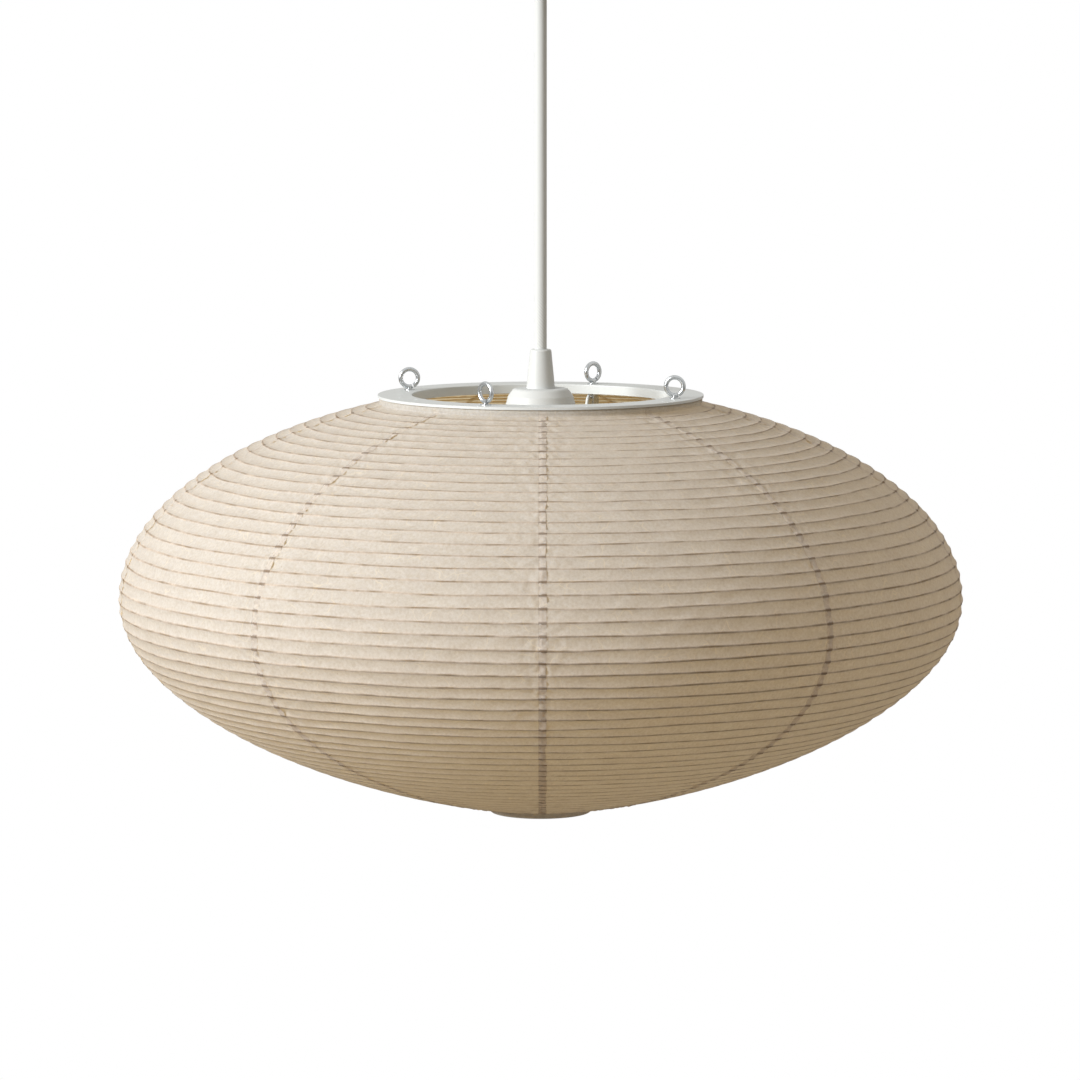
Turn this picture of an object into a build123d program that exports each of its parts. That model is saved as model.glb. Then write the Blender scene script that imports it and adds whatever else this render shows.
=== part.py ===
"""A paper lantern on a cord: millimetres, +Z up, origin on the ceiling face above the cord."""
import math
import os

from build123d import *

# ---- driving sizes -------------------------------------------------------------------------
# shade
shade_radius = 250.0           # widest outside radius of the paper
dome_height = 125.0            # equator up to where the upper curve would close
dome_power = 1.92              # both curves are a little more pointed than an ellipse
bowl_height = 110.0            # depth of the lower curve without its cone
bowl_power = 1.82
bowl_cone = 20.0               # depth of the shallow cone that the lower curve leans on
gore_count = 9                 # strips of paper around the shade
seam_front = 270.0             # azimuth of the seam that faces the front, degrees
seam_gap = 0.2                 # between neighbouring strips at the equator
paper_thick = 0.6              # paper with its glued turnings
equator_level = -420.0         # level of the widest place
rib_side = 1.1                 # square section of each split rib
rib_pitch_mid = 7.3            # along the paper at the equator
rib_pitch_far = 9.7            # along the paper near the two ends
rib_gap = 0.4                  # between the paper and each rib
seat_gap = 0.1                 # between a piece and what carries it

# ring at the top of the shade
ring_level = -300.0            # top face of the ring
ring_outer = 96.3
ring_inner = 76.0
sheet_thick = 1.5              # ring, flange and hub plate
flange_depth = 5.5             # inner edge turned down
hoop_radius = 1.2              # wire hoop that the paper's upper edge is glued to
hoop_outer = 94.8

# eye bolts with wing nuts
bolt_circle = 84.6
bolt_start = 68.0              # azimuth of the first bolt, degrees
bolt_count = 4
shank_radius = 1.5
shank_below = 13.5             # shank end below the ring's top face
hole_clearance = 0.2
eye_wire = 1.3                 # radius of the wire of the eye
eye_radius = 5.2               # centre line of the eye
eye_rise = 7.2                 # eye centre above the ring
eye_turns = [40.0, 8.0, -48.0, -12.0]   # how far each eye is turned from facing the front
eye_gap = 0.8                  # the open end of each eye
washer_radius = 3.2
washer_thick = 0.5
nut_hub_radius = 3.0
nut_hub_height = 4.5
nut_wing_reach = 5.4
nut_wing_thick = 1.6
nut_wing_rise = 5.0
nut_wing_set = 3.4             # wings start below the hub's upper face
running_gap = 0.1              # radial, thread on thread and rod in guide

# hub and arms inside the shade
hub_level = -318.0             # top face of the hub plate
hub_outer = 56.0
arm_wire = 1.0                 # radius of the wire arms
arm_loop = 2.8                 # centre line of the loop round each bolt
arm_inner = 34.0               # radius where an arm ends on the hub
clip_size = (7.0, 5.0, 3.4)    # across the arm, along it, and tall

# rods that hold the shade open
rod_radius = 1.5
rod_circle = 50.0
rod_azimuths = [21.7, 201.7]
rod_bend = 8.0
rod_fall = 6.0                 # drop of the rod's foot between the bend and the bottom ring
guide_radius = 3.5
guide_flange = 4.5
guide_rise = 2.0
guide_drop = 8.0               # below the hub's top face
cap_radius = 3.5
cap_height = 4.0
thumb_radius = 3.5
thumb_length = 6.0
thumb_shank = 1.5

# ring at the bottom of the shade
foot_outer = 29.6
foot_inner = 27.1
foot_height = 4.5
foot_level = -549.4            # lower face
cuff_thick = 0.3

# lampholder
cap_flat = 16.0                # flat top of the cap
cap_shoulder = 19.3
cap_side = 20.8                # radius of the cap's side
cap_top = ring_level + 3.6
cap_shoulder_drop = 4.6
cap_side_drop = 10.2
cap_wall = 2.0
skirt_radius = 19.75
skirt_wall = 2.7
skirt_end = -360.0
skirt_flange = 22.8
skirt_flange_thick = 2.0
thread_pitch = 3.0
thread_depth = 0.5
clamp_ring_outer = 29.0
clamp_ring_height = 7.5
clamp_ring_gap = 0.3
clamp_ring_knurls = 24
shell_bore = 13.25             # takes the lamp's E27 cap
shell_wall = 0.5
shell_top = -320.4
shell_end = -344.0
insert_radius = 18.2
insert_height = 8.0
button_radius = 3.5
button_thick = 1.6
stem_radius = 1.5
stem_head = 2.6
button_travel = 1.5

# cord and its grip
cord_radius = 3.65
cord_top = -8.0
grip_top_radius = 6.25
grip_base_radius = 8.45
grip_height = 23.1
grip_edge = 1.2
spigot_radius = 5.0

# ceiling cup and what is inside it
cup_radius = 50.0
cup_height = 58.0
cup_neck = 14.0
cup_side = 12.0                # straight part of the side
cup_wall = 1.2
cup_gap = 0.5                  # between the cup's rim and the ceiling
gland_radius = 6.0
gland_collar = 8.5
gland_collar_height = 3.9
gland_bore = cord_radius + 0.3
gland_length = 12.0
nut_across = 8.6
strap_size = (80.0, 22.0, 2.0)
strap_hole_radius = 2.25
strap_hole_spacing = 60.0
clamp_size = (18.0, 14.0, 14.0)
block_size = (12.0, 18.0, 10.0)

# ---- places worked out from those sizes ----------------------------------------------------
ring_under = ring_level - sheet_thick
loop_level = ring_under - seat_gap - arm_wire
washer_level = loop_level - arm_wire - seat_gap
nut_level = washer_level - washer_thick
hub_under = hub_level - sheet_thick
skirt_top = hub_level + skirt_flange_thick
arm_level = hub_level + seat_gap / 2 + arm_wire
guide_top = hub_level + guide_rise
foot_top = foot_level + foot_height
hoop_centre = hoop_outer - hoop_radius
hoop_level = ring_under - 2 * seat_gap - hoop_radius
paper_top_radius = hoop_outer + 3 * seat_gap
paper_foot_radius = foot_outer + cuff_thick + 3 * seat_gap
grip_base = cap_top
grip_top = grip_base + grip_height
cup_bottom = -cup_gap - cup_height


# ---- helpers -------------------------------------------------------------------------------
def at(radius, azimuth, level=0.0):
    """A place at a radius and an azimuth, turned so that its X points outward."""
    turned = math.radians(azimuth)
    return Location((radius * math.cos(turned), radius * math.sin(turned), level), (0, 0, azimuth))


def rod(radius, low, high):
    """An upright cylinder between two levels."""
    return Pos(0, 0, (low + high) / 2) * Cylinder(radius, high - low)


def tube(outer, inner, low, high):
    """An upright tube between two levels."""
    return rod(outer, low, high) - rod(inner, low - 1, high + 1)


def polygon_turned(points):
    """A solid of revolution about Z from (radius, level) corners."""
    outline = Polyline(*[(r, 0, z) for r, z in points], close=True)
    return revolve(make_face(outline), Axis.Z, 360)


def hoop(centre, wire, level):
    """A wire ring about Z."""
    return Pos(0, 0, level) * Torus(centre, wire)


def wire_along(points, bends, wire):
    """Round wire through points, with a bend radius at each corner."""
    path = FilletPolyline(*points, radius=bends)
    start = Plane(origin=path @ 0, z_dir=path % 0)
    return sweep(start * Circle(wire), path=path)


def shade_point(turn):
    """(radius, level) on the outside of the paper: 0 is the equator, +90 the top, -90 the bottom."""
    power = dome_power if turn >= 0 else bowl_power
    across = abs(math.cos(math.radians(turn))) ** (2 / power)
    rise = math.sin(math.radians(turn))
    if turn >= 0:
        return shade_radius * across, equator_level + dome_height * rise
    return shade_radius * across, equator_level + bowl_height * rise - bowl_cone * (1 - across)


def shade_inside(turn, depth):
    """The same place, moved inward square to the paper."""
    (r1, z1), (r2, z2) = shade_point(turn - 0.05), shade_point(turn + 0.05)
    length = math.hypot(r2 - r1, z2 - z1)
    r, z = shade_point(turn)
    return r - depth * (z2 - z1) / length, z + depth * (r2 - r1) / length


def turn_at_radius(radius, sign):
    """The turn at which the outside of the paper has a radius, above (+1) or below (-1)."""
    power = dome_power if sign > 0 else bowl_power
    return sign * math.degrees(math.acos((radius / shade_radius) ** (power / 2)))


paper_top_turn = turn_at_radius(paper_top_radius, 1)
paper_foot_turn = turn_at_radius(paper_foot_radius, -1)


def rib_turns():
    """Where the rib hoops lie: an even walk along the paper, a little wider away from the equator."""
    found = [0.0]
    for sign, last in ((1, paper_top_turn), (-1, paper_foot_turn)):
        turn, walked, step = 0.0, 0.0, 0.02
        r, z = shade_point(0.0)
        while abs(turn) < abs(last):
            turn += sign * step
            r_next, z_next = shade_point(turn)
            walked += math.hypot(r_next - r, z_next - z)
            r, z = r_next, z_next
            share = abs(z - equator_level) / dome_height
            if walked >= rib_pitch_mid + (rib_pitch_far - rib_pitch_mid) * share:
                found.append(turn)
                walked = 0.0
        if walked < rib_pitch_mid / 2:
            found.pop()
    return sorted(found, reverse=True)


# ---- ceiling -------------------------------------------------------------------------------
def ceiling_bracket():
    long, wide, thick = strap_size
    strap = Pos(0, 0, -thick / 2) * Box(long, wide, thick)
    strap = fillet(strap.edges().filter_by(Axis.Z), 4.0)
    for side in (-1, 1):
        strap -= Pos(side * strap_hole_spacing / 2, 0, 0) * Cylinder(strap_hole_radius, 4 * thick)
    return strap


def cord_clamp():
    long, wide, tall = clamp_size
    top = -strap_size[2] - seat_gap
    block = Pos(0, 0, top - tall / 2) * Box(long, wide, tall)
    block = fillet(block.edges().filter_by(Axis.Z), 1.5)
    block -= rod(cord_radius + seat_gap, top - tall - 1, cord_top + seat_gap)
    for side in (-1, 1):
        block -= Pos(side * 6.5, 0, top - tall / 2) * Rot(90, 0, 0) * Cylinder(1.6, wide + 2)
    return block


def clamp_screws():
    middle = -strap_size[2] - seat_gap - clamp_size[2] / 2
    front = -clamp_size[1] / 2 - seat_gap
    screws = []
    for side in (-1, 1):
        shank = Pos(side * 6.5, front + 6, middle) * Rot(90, 0, 0) * Cylinder(1.5, 12)
        head = Pos(side * 6.5, front - 1, middle) * Rot(90, 0, 0) * Cylinder(2.4, 2)
        head -= Pos(side * 6.5, front - 2, middle) * Box(5, 1.2, 0.7)
        screws.append(shank + head)
    return Compound(screws)


def terminal_block():
    long, wide, tall = block_size
    place = Pos(18 + long / 2, 0, -strap_size[2] - seat_gap - tall / 2)
    block = place * Box(long, wide, tall)
    for row in (-1, 0, 1):
        block -= place * Pos(0, row * 5.5, -1) * Rot(0, 90, 0) * Cylinder(1.5, long + 2)
        block -= place * Pos(0, row * 5.5, -tall / 2) * Cylinder(1.8, 4)
    return block


def canopy_cup():
    def bell(wall):
        side, neck = cup_radius - wall, cup_neck - wall
        top, bend, floor = -cup_gap, -cup_gap - cup_side, cup_bottom + wall
        arc = Spline((neck, 0, floor), (side, 0, bend), tangents=((1, 0, 0), (0, 0, 1)))
        rest = Polyline((side, 0, bend), (side, 0, top), (0, 0, top), (0, 0, floor), (neck, 0, floor))
        return revolve(make_face(Curve() + [arc, rest]), Axis.Z, 360)

    cup = bell(0.0) - (bell(cup_wall) + rod(cup_radius - cup_wall, -cup_gap - 1, 1))
    return cup - rod(gland_radius + seat_gap, cup_bottom - 1, cup_bottom + 2 * cup_wall)


def canopy_gland():
    collar_top = cup_bottom - seat_gap
    body = rod(gland_collar, collar_top - gland_collar_height, collar_top)
    body = fillet(body.edges().group_by(Axis.Z)[0], 1.0)
    body += rod(gland_radius, collar_top - 0.01, collar_top + gland_length)
    body -= rod(gland_bore, collar_top - 10, collar_top + gland_length + 1)
    middle = collar_top - gland_collar_height / 2
    return body - Pos(6, 0, middle) * Rot(0, 90, 0) * Cylinder(1.25, 6)


def gland_nut():
    low = cup_bottom + cup_wall + seat_gap
    nut = Pos(0, 0, low) * extrude(RegularPolygon(nut_across, 6), 4.0)
    return nut - rod(gland_radius + seat_gap, low - 1, low + 6)


def gland_screw():
    middle = cup_bottom - seat_gap - gland_collar_height / 2
    near, far = gland_bore + 0.1, gland_collar + 1.5
    return Pos((near + far) / 2, 0, middle) * Rot(0, 90, 0) * Cylinder(1.15, far - near)


# ---- cord and lampholder -------------------------------------------------------------------
def pendant_cord():
    return rod(cord_radius, grip_base - 3.5, cord_top)


def cord_grip():
    body = polygon_turned([(0, grip_base), (grip_base_radius, grip_base),
                           (grip_top_radius, grip_top), (0, grip_top)])
    body = fillet(body.edges().group_by(Axis.Z)[-1], grip_edge)
    body += rod(spigot_radius, grip_base - 4.0, grip_base + 0.01)
    return body - rod(cord_radius + seat_gap, grip_base - 5, grip_top + 1)


def holder_cap():
    def dome(wall):
        top = cap_top - wall
        return polygon_turned([
            (0, skirt_top + seat_gap), (cap_side - wall, skirt_top + seat_gap),
            (cap_side - wall, cap_top - cap_side_drop), (cap_shoulder - wall, cap_top - cap_shoulder_drop),
            (cap_flat - wall / 2, top), (0, top)])

    outside = dome(0.0)
    outside = fillet(outside.edges().group_by(Axis.Z)[-1], 3.2)
    body = outside - (dome(cap_wall) + rod(cap_side - cap_wall, skirt_top - 1, skirt_top + 1))
    return body - rod(spigot_radius + seat_gap, cap_top - 2 * cap_wall, cap_top + 1)


def holder_skirt():
    flange = rod(skirt_flange, hub_level + seat_gap / 2, skirt_top)
    body = flange + rod(skirt_radius, skirt_end, hub_level + 1)
    level = clamp_ring_lower() - thread_pitch
    while level > skirt_end + thread_pitch:
        body -= tube(skirt_radius + 1, skirt_radius - thread_depth, level - 0.6, level + 0.6)
        level -= thread_pitch
    return body - rod(skirt_radius - skirt_wall, skirt_end - 1, skirt_top + 1)


def clamp_ring_lower():
    return hub_under - clamp_ring_gap - clamp_ring_height


def shade_ring():
    low, high = clamp_ring_lower(), hub_under - clamp_ring_gap
    body = tube(clamp_ring_outer, skirt_radius + 0.25, low, high)
    body -= tube(clamp_ring_outer + 1, clamp_ring_outer - 4.5, low - 1, high - 2.0)
    groove = rod(1.0, low - 1, high - 2.0)
    for k in range(clamp_ring_knurls):
        body -= at(clamp_ring_outer - 4.0, k * 360 / clamp_ring_knurls) * groove
    return body


def socket_insert():
    low = skirt_top + seat_gap
    body = rod(insert_radius, low, low + insert_height)
    body += tube(shell_bore + 3, shell_bore - 3, shell_top + seat_gap, low + 0.01)
    body -= rod(stem_radius + running_gap, low - 1, low + insert_height + 1)
    for side in (-1, 1):
        body -= Pos(side * 10, 0, 0) * rod(1.6, low + 3, low + insert_height + 1)
    return body


def terminal_screws():
    top = skirt_top + seat_gap + insert_height
    screws = []
    for side in (-1, 1):
        head = rod(2.6, top + seat_gap, top + 2.0) - Pos(0, 0, top + 2) * Box(6, 0.7, 1.0)
        screws.append(Pos(side * 10, 0, 0) * (head + rod(1.5, top - 4.5, top + 0.2)))
    return Compound(screws)


def screw_shell():
    flange = tube(shell_bore + 3, shell_bore, shell_top - 0.5, shell_top)
    return flange + tube(shell_bore + shell_wall, shell_bore, shell_end, shell_top)


def centre_contact():
    top = skirt_top + seat_gap + insert_height
    low = skirt_top + seat_gap - button_travel - 0.6 - button_thick
    button = fillet(rod(button_radius, low, low + button_thick).edges().group_by(Axis.Z)[0], 0.6)
    stem = rod(stem_radius, low + button_thick - 0.01, top + 0.5)
    return button + stem + rod(stem_head, top + seat_gap, top + 1.2)


def contact_spring():
    high = skirt_top
    low = skirt_top + seat_gap - button_travel - 0.6 + seat_gap
    return tube(stem_radius + 1.2, stem_radius + 0.3, low, high)


# ---- hub, arms and rods --------------------------------------------------------------------
def hub_plate():
    plate = tube(hub_outer, skirt_radius + 0.35, hub_under, hub_level)
    for azimuth in rod_azimuths:
        plate -= at(rod_circle, azimuth) * rod(guide_radius + seat_gap, hub_under - 1, hub_level + 1)
    for k in range(bolt_count):
        plate -= at(34.0, bolt_start + 45 + k * 90) * rod(7.0, hub_under - 1, hub_level + 1)
    return plate


def spider_arm(k):
    inner_edge = bolt_circle - arm_loop
    flange_foot = ring_level - flange_depth
    points = [(inner_edge, 0, loop_level), (inner_edge - 1.1, 0, loop_level),
              (ring_inner + 3.8, 0, flange_foot - 0.5), (ring_inner, 0, flange_foot - 2.5),
              (ring_inner - 3.5, 0, arm_level), (arm_inner, 0, arm_level)]
    arm = wire_along(points, [1.2, 4.0, 4.0, 4.0], arm_wire)
    arm += Pos(bolt_circle, 0, loop_level) * Torus(arm_loop, arm_wire)
    return Rot(0, 0, bolt_start + 90 * k) * arm


def arm_clips():
    across, along, tall = clip_size
    clips = []
    for k in range(bolt_count):
        clip = Pos(hub_outer - 8, 0, hub_level + seat_gap / 2 + tall / 2) * Box(along, across, tall)
        clip -= Pos(hub_outer - 8, 0, arm_level) * Rot(0, 90, 0) * Cylinder(arm_wire + seat_gap, 20)
        clip -= Pos(hub_outer - 8, 0, arm_level - 2) * Box(20, 2 * (arm_wire + seat_gap), 4)
        clips.append(Rot(0, 0, bolt_start + 90 * k) * clip)
    return Compound(clips)


def rod_guides():
    guides = []
    for azimuth in rod_azimuths:
        guide = rod(guide_radius, hub_level - guide_drop, guide_top)
        guide += rod(guide_flange, hub_level + seat_gap / 2, guide_top)
        guide -= rod(rod_radius + running_gap, hub_level - guide_drop - 1, guide_top + 1)
        side_hole = Pos(3, 0, thumb_level()) * Rot(0, 90, 0) * Cylinder(thumb_shank + running_gap, 6)
        guides.append(at(rod_circle, azimuth) * (guide - side_hole))
    return Compound(guides)


def thumb_level():
    return hub_under - (guide_drop - sheet_thick) / 2


def rod_screw(k):
    near, head = rod_radius + seat_gap, hub_outer - rod_circle + 0.6
    shank = Pos((near + head) / 2, 0, 0) * Rot(0, 90, 0) * Cylinder(thumb_shank, head - near)
    knob = Pos(head + thumb_length / 2, 0, 0) * Rot(0, 90, 0) * Cylinder(thumb_radius, thumb_length)
    for turn in range(0, 360, 30):
        ridge = Rot(turn, 0, 0) * Pos(head + thumb_length / 2, thumb_radius + 0.1, 0)
        knob -= ridge * Rot(0, 90, 0) * Cylinder(0.5, thumb_length + 1)
    return at(rod_circle, rod_azimuths[k], thumb_level()) * (shank + knob)


def stretcher_rod(k):
    foot_reach = foot_outer - 1.2
    foot_height_centre = foot_top + seat_gap / 2 + rod_radius
    points = [(rod_circle, 0, rod_top()), (rod_circle, 0, foot_height_centre + rod_fall),
              (foot_reach, 0, foot_height_centre)]
    return Rot(0, 0, rod_azimuths[k]) * wire_along(points, rod_bend, rod_radius)


def rod_top():
    return guide_top + seat_gap + cap_height - 1.1


def rod_caps():
    caps = []
    for azimuth in rod_azimuths:
        low = guide_top + seat_gap
        cap = fillet(rod(cap_radius, low, low + cap_height).edges().group_by(Axis.Z)[-1], 1.0)
        cap -= rod(rod_radius + 0.05, low - 1, rod_top() + 0.05)
        caps.append(at(rod_circle, azimuth) * cap)
    return Compound(caps)


# ---- ring at the top -----------------------------------------------------------------------
def top_ring():
    body = tube(ring_outer, ring_inner, ring_under, ring_level)
    body += tube(ring_inner + sheet_thick, ring_inner, ring_level - flange_depth, ring_under)
    body = fillet(body.edges().filter_by(GeomType.CIRCLE).sort_by(Axis.Z)[-1], 0.6)
    for k in range(bolt_count):
        hole = rod(shank_radius + hole_clearance, ring_under - 1, ring_level + 1)
        body -= at(bolt_circle, bolt_start + 90 * k) * hole
    return body


def top_hoop():
    return hoop(hoop_centre, hoop_radius, hoop_level)


def eye_bolt(k):
    centre = ring_level + eye_rise
    eye = Torus(eye_radius, eye_wire)
    opening = Rot(0, 0, -90 + 24) * Pos(eye_radius, 0, 0) * Box(4 * eye_wire, eye_gap, 4 * eye_wire)
    eye = Pos(0, 0, centre) * Rot(90, 0, 0) * (eye - opening)
    shank = rod(shank_radius, ring_level - shank_below, centre - eye_radius)
    return at(bolt_circle, bolt_start + 90 * k) * Rot(0, 0, eye_turns[k] - bolt_start - 90 * k) * (eye + shank)


def bolt_washers():
    washers = []
    for k in range(bolt_count):
        for low in (ring_level, washer_level - washer_thick):
            washer = tube(washer_radius, shank_radius + hole_clearance, low, low + washer_thick)
            washers.append(at(bolt_circle, bolt_start + 90 * k) * washer)
    return Compound(washers)


def wing_nut(k):
    low = nut_level - nut_hub_height
    hub = rod(nut_hub_radius, low, nut_level - seat_gap)
    wing_top = nut_level - nut_wing_set
    middle = wing_top - nut_wing_rise / 2
    wing = Pos(nut_wing_reach / 2, 0, middle) * Box(nut_wing_reach, nut_wing_thick, nut_wing_rise)
    wing = fillet(wing.edges().filter_by(Axis.Y).group_by(Axis.X)[-1], 1.8)
    nut = hub + wing + Rot(0, 0, 180) * wing
    nut -= rod(shank_radius + running_gap, low - 10, nut_level + 1)
    return at(bolt_circle, bolt_start + 90 * k) * Rot(0, 0, 55 - bolt_start - 90 * k) * nut


# ---- paper shade ---------------------------------------------------------------------------
def paper_gore(k):
    dome = [paper_top_turn * (8 - i) / 8 for i in range(9)]
    bowl = [paper_foot_turn * i / 8 for i in range(9)]
    curves = []
    for turns in (dome, bowl):
        curves.append(Spline(*[(r, 0, z) for r, z in map(shade_point, turns)]))
        curves.append(Spline(*[(r, 0, z) for r, z in (shade_inside(turn, paper_thick) for turn in turns)]))
    dome_out, dome_in, bowl_out, bowl_in = curves
    ends = [Line(dome_out @ 0, dome_in @ 0), Line(bowl_out @ 1, bowl_in @ 1)]
    section = make_face(Curve() + [*curves, *ends])
    gap_angle = math.degrees(seam_gap / shade_radius)
    gore = revolve(section, Axis.Z, 360 / gore_count - gap_angle)
    return Rot(0, 0, seam_front + 360 / gore_count * k + gap_angle / 2) * gore


def rib_hoops(turns):
    hoops = []
    for turn in turns:
        r, z = shade_inside(turn, paper_thick + rib_gap + rib_side / 2)
        hoops.append(tube(r + rib_side / 2, r - rib_side / 2, z - rib_side / 2, z + rib_side / 2))
    return Compound(hoops)


def bottom_ring():
    body = tube(foot_outer, foot_inner, foot_level, foot_top)
    return fillet(body.edges().filter_by(GeomType.CIRCLE), 0.5)


def bottom_cuff():
    return tube(foot_outer + cuff_thick, foot_outer + 0.05, foot_level + 0.4, foot_top - 0.4)


# ---- build ---------------------------------------------------------------------------------
all_ribs = rib_turns()
parts = {
    "ceiling_bracket": ceiling_bracket(),
    "cord_clamp": cord_clamp(),
    "clamp_screws": clamp_screws(),
    "terminal_block": terminal_block(),
    "canopy_cup": canopy_cup(),
    "canopy_gland": canopy_gland(),
    "gland_nut": gland_nut(),
    "gland_screw": gland_screw(),
    "pendant_cord": pendant_cord(),
    "cord_grip": cord_grip(),
    "holder_cap": holder_cap(),
    "holder_skirt": holder_skirt(),
    "shade_ring": shade_ring(),
    "socket_insert": socket_insert(),
    "terminal_screws": terminal_screws(),
    "screw_shell": screw_shell(),
    "centre_contact": centre_contact(),
    "contact_spring": contact_spring(),
    "hub_plate": hub_plate(),
    "arm_clips": arm_clips(),
    "rod_guides": rod_guides(),
    "rod_caps": rod_caps(),
    "top_ring": top_ring(),
    "top_hoop": top_hoop(),
    "bolt_washers": bolt_washers(),
    "rib_hoops_upper": rib_hoops([turn for turn in all_ribs if turn > 0]),
    "rib_hoops_lower": rib_hoops([turn for turn in all_ribs if turn <= 0]),
    "bottom_ring": bottom_ring(),
    "bottom_cuff": bottom_cuff(),
}
for number in range(bolt_count):
    parts[f"spider_arm_{number + 1}"] = spider_arm(number)
    parts[f"eye_bolt_{number + 1}"] = eye_bolt(number)
    parts[f"wing_nut_{number + 1}"] = wing_nut(number)
for number in range(len(rod_azimuths)):
    parts[f"rod_screw_{number + 1}"] = rod_screw(number)
    parts[f"stretcher_rod_{number + 1}"] = stretcher_rod(number)
for number in range(gore_count):
    parts[f"paper_gore_{number + 1}"] = paper_gore(number)

os.makedirs("parts", exist_ok=True)
for node, shape in parts.items():
    export_step(shape, f"parts/{node}.step")
print(len(parts), "nodes,", len(all_ribs), "rib hoops")
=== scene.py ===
import math

import bpy
import numpy as np
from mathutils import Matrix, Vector


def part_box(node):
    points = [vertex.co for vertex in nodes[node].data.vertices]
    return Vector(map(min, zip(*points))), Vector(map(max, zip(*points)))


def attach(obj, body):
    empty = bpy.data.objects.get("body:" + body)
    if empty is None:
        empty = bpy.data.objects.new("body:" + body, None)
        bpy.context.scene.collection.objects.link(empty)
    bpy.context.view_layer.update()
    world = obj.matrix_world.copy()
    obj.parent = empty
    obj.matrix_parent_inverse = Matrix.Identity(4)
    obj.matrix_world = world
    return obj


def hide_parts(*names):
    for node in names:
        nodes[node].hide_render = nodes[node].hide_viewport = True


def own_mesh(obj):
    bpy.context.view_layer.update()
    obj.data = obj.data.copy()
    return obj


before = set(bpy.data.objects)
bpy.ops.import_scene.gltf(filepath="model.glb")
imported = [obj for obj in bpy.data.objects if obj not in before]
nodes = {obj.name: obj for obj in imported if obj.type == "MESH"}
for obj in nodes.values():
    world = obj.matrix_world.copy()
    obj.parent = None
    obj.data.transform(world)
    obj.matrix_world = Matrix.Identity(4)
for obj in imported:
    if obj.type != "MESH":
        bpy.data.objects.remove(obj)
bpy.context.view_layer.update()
scene = bpy.context.scene
print("frame loaded:", len(nodes), "nodes")

# Lengths are in metres here, with millimetre values written as 7.2 * mm.
mm = 0.001


# Small tools.
# One colour as people write it, #rrggbb in sRGB, turned to the linear numbers that shaders use.
def linearColour(hexText, alpha=1.0):
    parts = [int(hexText[i:i + 2], 16) / 255 for i in (1, 3, 5)]
    return tuple([p / 12.92 if p <= 0.04045 else ((p + 0.055) / 1.055) ** 2.4 for p in parts] + [alpha])


# Adds a node, sets its properties, and fills its sockets with values or with links from other sockets.
def addNode(tree, kind, settings=None, inputs=None):
    node = tree.nodes.new(kind)
    for name, value in (settings or {}).items():
        setattr(node, name, value)
    for name, value in (inputs or {}).items():
        socket = node.inputs[name]
        if isinstance(value, bpy.types.NodeSocket):
            tree.links.new(value, socket)
        else:
            socket.default_value = value
    return node


# A new material with one Principled shader, whose plain values are given by socket name.
def newMaterial(name, values):
    material = bpy.data.materials.new(name)
    material.use_nodes = True
    tree = material.node_tree
    tree.nodes.clear()
    surface = addNode(tree, "ShaderNodeBsdfPrincipled", inputs=values)
    addNode(tree, "ShaderNodeOutputMaterial", inputs={"Surface": surface.outputs[0]})
    return material, tree, surface


# How many times a pattern of this size repeats in a metre, which is what a texture's Scale means.
def perMetre(size):
    return 1 / size


# Quads between the neighbours of a rows by columns grid, whose points are numbered from start.
# Going down the rows and then along the columns turns to the outside. Either direction may close on itself.
def gridFaces(rows, columns, closeRows=False, closeColumns=False, start=0):
    index = np.arange(rows * columns).reshape(rows, columns) + start
    if closeRows:
        index = np.concatenate([index, index[:1]])
    if closeColumns:
        index = np.concatenate([index, index[:, :1]], axis=1)
    corners = [index[:-1, :-1], index[1:, :-1], index[1:, 1:], index[:-1, 1:]]
    return np.stack(corners, axis=-1).reshape(-1, 4)


# A smooth mesh piece from points, quads and perhaps triangles, with one UV pair and named numbers per point.
def makePiece(name, points, quads, material, pointUv=None, values=None, triangles=()):
    mesh = bpy.data.meshes.new(name)
    mesh.from_pydata(points.reshape(-1, 3).tolist(), [], [*quads.tolist(), *np.array(triangles).tolist()])
    mesh.shade_smooth()
    if pointUv is not None:
        corner = np.empty(len(mesh.loops), np.int32)
        mesh.loops.foreach_get("vertex_index", corner)
        mesh.uv_layers.new(name="along").uv.foreach_set("vector", pointUv.reshape(-1, 2)[corner].ravel())
    for key, numbers in (values or {}).items():
        mesh.attributes.new(key, "FLOAT", "POINT").data.foreach_set("value", numbers.ravel())
    mesh.materials.append(material)
    piece = bpy.data.objects.new(name, mesh)
    scene.collection.objects.link(piece)
    return piece


# Smooth repeatable waves round a circle: for each row a sum of sines with whole turns and random phases.
def circleWaves(local, rowCount, azimuth, turns, size):
    phase = local.uniform(0, 2 * np.pi, (rowCount, len(turns)))
    weight = local.normal(0, 1, (rowCount, len(turns))) / np.sqrt(len(turns))
    waves = np.sin(azimuth[None, :, None] * np.array(turns)[None, None, :] + phase[:, None, :])
    return size * (waves * weight[:, None, :]).sum(-1)


# Camera.
cameraPlace = dict(place=(-0.0004, -3.0, -0.0582), lookDown=6.25, lens=169.6, sensor=36.0)

camera = bpy.data.objects.new("camera", bpy.data.cameras.new("camera"))
camera.data.lens = cameraPlace["lens"]
camera.data.sensor_width = cameraPlace["sensor"]
camera.location = cameraPlace["place"]
camera.rotation_euler = (math.radians(90 - cameraPlace["lookDown"]), 0, 0)
scene.collection.objects.link(camera)
scene.camera = camera

# Cord.
cordForm = dict(
    diameter=7.3 * mm,         # over the braid
    around=64,                 # points round the braid
    carriers=12,               # strands that run each way
    lay=16.0 * mm,             # height in which a strand goes once round
    relief=0.16 * mm,          # how far a strand stands out
    dip=0.4,                   # share of its height that a strand loses where it runs under
    step=0.42 * mm,            # between rings of points
)


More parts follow.
